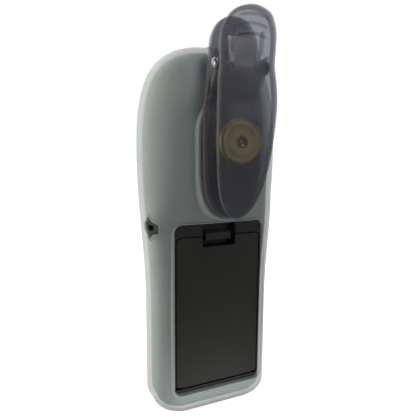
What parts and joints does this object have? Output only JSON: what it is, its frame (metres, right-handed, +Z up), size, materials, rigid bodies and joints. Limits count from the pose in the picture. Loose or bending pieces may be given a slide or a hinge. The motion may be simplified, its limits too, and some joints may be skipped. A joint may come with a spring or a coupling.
{
  "type": "digital refractometer",
  "caption": "Palm-held digital refractometer in a silicone jacket, with a hinged cover over its sample well, a battery door and a sprung belt clip.",
  "frame": {"origin": "middle of the flat foot that it stands on", "axes": "+Z up the length, from the foot to the head; -Y out of the display; +Y out of the battery door and clip; X across the width"},
  "size_m": [0.0726, 0.0676, 0.1974],
  "materials": {
    "silicone": "frosted see-through silicone",
    "housing": "fine moulded texture",
    "door": "fine moulded texture",
    "seal": "matte",
    "smoke": "smoky see-through polycarbonate",
    "steel": "polished",
    "brass": "dull satin",
    "tin": "tin plate",
    "board": "solder mask",
    "glass": "clear",
    "lcd": "reflective display",
    "film": "fine matte film",
    "cell": "printed sleeve",
    "key": "matte"
  },
  "bodies": {
    "case": {"battery_1": "cell", "battery_2": "cell", "battery_spring_1": "tin", "battery_spring_2": "tin", "clip_base": "smoke", "clip_pin": "steel", "clip_rivet": "brass", "clip_spring": "steel", "contact_bridge": "tin", "contact_negative": "tin", "contact_positive": "tin", "cover_hinge_pin": "steel", "detector_board": "board", "display_window": "glass", "door_gasket": "seal", "front_housing": "housing", "front_overlay": "film", "housing_gasket": "seal", "housing_screw_1": "steel", "housing_screw_2": "steel", "housing_screw_3": "steel", "housing_screw_4": "steel", "jacket": "silicone", "lcd_module": "lcd", "led": "glass", "led_board": "board", "lens": "glass", "main_pcb": "board", "mirror": "steel", "optical_block": "seal", "prism": "glass", "rear_housing": "housing", "ribbon_cable": "film", "rivet_washer": "brass", "sample_well": "steel", "strap_pin": "steel", "switch_left": "tin", "switch_right": "tin", "thermistor": "seal", "well_seal": "seal"},
    "lever": {"clip_lever": "smoke"},
    "cover": {"well_cover": "housing"},
    "door": {"battery_door": "door"},
    "latch": {"door_latch": "door"},
    "left_key": {"key_left": "key"},
    "right_key": {"key_right": "key"}
  },
  "joints": [
    {"name": "clip_open", "type": "hinge", "parent": "case", "child": "lever", "pos_m": [0, 0.0363, 0.1746], "axis": [1, 0, 0], "range_deg": [0, 25], "stiffness_Nm_per_rad": 0.8, "springref_deg": -22.92, "deforming": ["clip_spring"]},
    {"name": "cover_open", "type": "hinge", "parent": "case", "child": "cover", "pos_m": [0, -0.0174, 0.1706], "axis": [-1, 0, 0], "range_deg": [0, 110]},
    {"name": "door_open", "type": "hinge", "parent": "case", "child": "door", "pos_m": [0, 0.0156, 0.0168], "axis": [-1, 0, 0], "range_deg": [0, 70]},
    {"name": "latch_press", "type": "slide", "parent": "door", "child": "latch", "axis": [0, 0, -1], "range_m": [0, 0.0012], "stiffness_N_per_m": 900},
    {"name": "key_left_press", "type": "slide", "parent": "case", "child": "left_key", "axis": [0, 1, 0], "range_m": [0, 0.0008], "stiffness_N_per_m": 1200},
    {"name": "key_right_press", "type": "slide", "parent": "case", "child": "right_key", "axis": [0, 1, 0], "range_m": [0, 0.0008], "stiffness_N_per_m": 1200}
  ]
}
